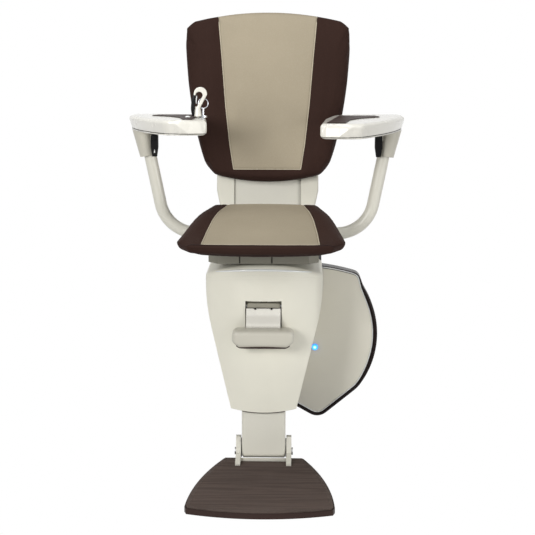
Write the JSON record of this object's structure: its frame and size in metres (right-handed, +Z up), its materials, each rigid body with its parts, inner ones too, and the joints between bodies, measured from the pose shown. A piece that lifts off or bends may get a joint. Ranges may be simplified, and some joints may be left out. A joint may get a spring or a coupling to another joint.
{
  "type": "stair chair",
  "caption": "Seat that rides a round stair rail: folding seat, footrest and armrests, swivel, levelling carriage and a joystick, for carrying a person up and down stairs.",
  "frame": {"origin": "on the rail's axis, midway between the two guide rings", "axes": "+X along the rail, -Y the way the seated person looks, +Z up"},
  "size_m": [0.5928, 0.6815, 0.9332],
  "materials": {
    "cast_metal": "cast",
    "guide_plastic": "smooth",
    "roller_tread": "smooth",
    "bright_steel": "brushed",
    "motor_black": "satin",
    "frame_paint": "satin",
    "battery_case": "satin",
    "circuit_board": "satin",
    "ivory_cover": "satin",
    "ivory_shade": "satin",
    "dark_trim": "gloss",
    "ivory_paint": "satin",
    "ivory_grip": "gloss",
    "brown_mat": "ribbed",
    "brown_plastic": "satin",
    "brown_fabric": "woven",
    "black_plastic": "gloss",
    "chrome_metal": "polished",
    "blue_lamp": "lit",
    "pale_button": "gloss"
  },
  "bodies": {
    "carriage": {"carriage_frame": "cast_metal", "guide_rings": "guide_plastic", "roller_axles": "bright_steel", "drive_gearmotor": "motor_black", "levelling_spindle": "bright_steel"},
    "roller_upper_left_body": {"roller_upper_left": "roller_tread"},
    "roller_upper_right_body": {"roller_upper_right": "roller_tread"},
    "roller_lower_left_body": {"roller_lower_left": "roller_tread"},
    "roller_lower_right_body": {"roller_lower_right": "roller_tread"},
    "pinion_body": {"drive_pinion": "bright_steel"},
    "chassis": {"levelling_bush": "guide_plastic", "levelling_gearmotor": "motor_black", "chassis_frame": "frame_paint", "batteries": "battery_case", "control_board": "circuit_board", "front_cover": "ivory_cover", "top_cover": "ivory_cover", "cover_screws": "bright_steel", "swivel_column": "bright_steel", "swivel_nut": "bright_steel", "side_cover_trim": "dark_trim", "side_cover": "ivory_shade", "status_lamp": "blue_lamp", "lever_hinge_pin": "bright_steel", "footrest_leg": "ivory_paint", "footrest_pin": "bright_steel"},
    "lever": {"lever_arm": "ivory_cover", "lever_pad": "ivory_grip"},
    "link": {"link_rod": "bright_steel"},
    "footrest": {"footplate": "brown_plastic", "footplate_mat": "brown_mat", "footrest_brackets": "ivory_paint", "footrest_crossbars": "ivory_paint"},
    "pan": {"safety_pan": "brown_plastic"},
    "seat_carrier": {"swivel_plate": "ivory_paint", "back_bracket": "ivory_paint", "back_wing_left": "ivory_cover", "back_wing_right": "ivory_cover", "back_cushion": "brown_fabric", "back_board": "brown_plastic", "back_shell": "brown_plastic", "arm_tube_left": "ivory_paint", "arm_tube_right": "ivory_paint", "arm_socket_left": "ivory_cover", "arm_socket_right": "ivory_cover", "arm_hinge_pins": "bright_steel", "catch_pins": "bright_steel", "seat_hinge_pins": "bright_steel"},
    "seat": {"seat_pan": "brown_plastic", "seat_cushion": "brown_fabric"},
    "arm_right": {"armrest_right": "ivory_grip", "armrest_pad_right": "brown_plastic"},
    "arm_left": {"armrest_left": "ivory_grip", "armrest_pad_left": "brown_plastic", "key_switch": "chrome_metal"},
    "joystick": {"joystick_lever": "ivory_grip"},
    "button": {"function_button": "pale_button"},
    "key_body": {"key": "chrome_metal"},
    "catch_left_body": {"catch_left": "black_plastic"},
    "catch_right_body": {"catch_right": "black_plastic"}
  },
  "joints": [
    {"name": "levelling", "type": "hinge", "parent": "carriage", "child": "chassis", "pos_m": [0, 0, 0], "axis": [0, 1, 0], "range_deg": [-55, 55]},
    {"name": "seat_swivel", "type": "hinge", "parent": "chassis", "child": "seat_carrier", "pos_m": [0, -0.25, 0.25], "axis": [0, 0, 1], "range_deg": [-90, 90]},
    {"name": "seat_fold", "type": "hinge", "parent": "seat_carrier", "child": "seat", "pos_m": [0, -0.195, 0.283], "axis": [-1, 0, 0], "range_deg": [0, 80]},
    {"name": "arm_fold_right", "type": "hinge", "parent": "seat_carrier", "child": "arm_right", "pos_m": [0.267, -0.092, 0.51], "axis": [-1, 0, 0], "range_deg": [0, 76]},
    {"name": "arm_fold_left", "type": "hinge", "parent": "seat_carrier", "child": "arm_left", "pos_m": [-0.267, -0.092, 0.51], "axis": [-1, 0, 0], "range_deg": [0, 76]},
    {"name": "footrest_fold", "type": "hinge", "parent": "chassis", "child": "footrest", "pos_m": [0, -0.3215, -0.1565], "axis": [-1, 0, 0], "range_deg": [0, 70]},
    {"name": "lever_turn", "type": "hinge", "parent": "chassis", "child": "lever", "pos_m": [0, -0.326, 0.158], "axis": [-1, 0, 0], "range_deg": [0, 40]},
    {"name": "link_travel", "type": "slide", "parent": "chassis", "child": "link", "axis": [0, 0, -1], "range_m": [0, 0.019]},
    {"name": "pan_travel", "type": "slide", "parent": "footrest", "child": "pan", "axis": [0, 0, 1], "range_m": [0, 0.002], "stiffness_N_per_m": 1500, "springref_m": -0.003},
    {"name": "stick_tilt", "type": "hinge", "parent": "arm_left", "child": "joystick", "pos_m": [-0.136, -0.26734, 0.5373], "axis": [0, 1, 0], "range_deg": [-10, 10], "stiffness_Nm_per_rad": 0.5},
    {"name": "button_press", "type": "slide", "parent": "arm_left", "child": "button", "axis": [0, -0.0262, -0.9997], "range_m": [0, 0.0015], "stiffness_N_per_m": 300, "springref_m": -0.001},
    {"name": "key_turn", "type": "hinge", "parent": "arm_left", "child": "key_body", "pos_m": [-0.127, -0.24227, 0.53994], "axis": [0, -0.0262, -0.9997], "range_deg": [0, 90]},
    {"name": "catch_swing_left", "type": "hinge", "parent": "seat_carrier", "child": "catch_left_body", "pos_m": [-0.241, -0.142, 0.484], "axis": [0, -1, 0], "range_deg": [0, 20], "stiffness_Nm_per_rad": 0.1},
    {"name": "catch_swing_right", "type": "hinge", "parent": "seat_carrier", "child": "catch_right_body", "pos_m": [0.241, -0.142, 0.484], "axis": [0, 1, 0], "range_deg": [0, 20], "stiffness_Nm_per_rad": 0.1},
    {"name": "roll_upper_left", "type": "hinge", "parent": "carriage", "child": "roller_upper_left_body", "pos_m": [-0.045, 0, 0.0585], "axis": [0, 1, 0], "continuous": true},
    {"name": "roll_upper_right", "type": "hinge", "parent": "carriage", "child": "roller_upper_right_body", "pos_m": [0.045, 0, 0.0585], "axis": [0, 1, 0], "continuous": true},
    {"name": "roll_lower_left", "type": "hinge", "parent": "carriage", "child": "roller_lower_left_body", "pos_m": [-0.045, 0, -0.0585], "axis": [0, 1, 0], "continuous": true},
    {"name": "roll_lower_right", "type": "hinge", "parent": "carriage", "child": "roller_lower_right_body", "pos_m": [0.045, 0, -0.0585], "axis": [0, 1, 0], "continuous": true},
    {"name": "pinion_turn", "type": "hinge", "parent": "carriage", "child": "pinion_body", "pos_m": [0, 0, -0.068], "axis": [0, 1, 0], "continuous": true}
  ],
  "couplings": [
    {"joint": "arm_fold_right", "follows": "seat_fold", "ratio": 0.95},
    {"joint": "arm_fold_left", "follows": "seat_fold", "ratio": 0.95},
    {"joint": "lever_turn", "follows": "footrest_fold", "ratio": 0.5714},
    {"joint": "link_travel", "follows": "footrest_fold", "m_per_rad": 0.01555}
  ]
}
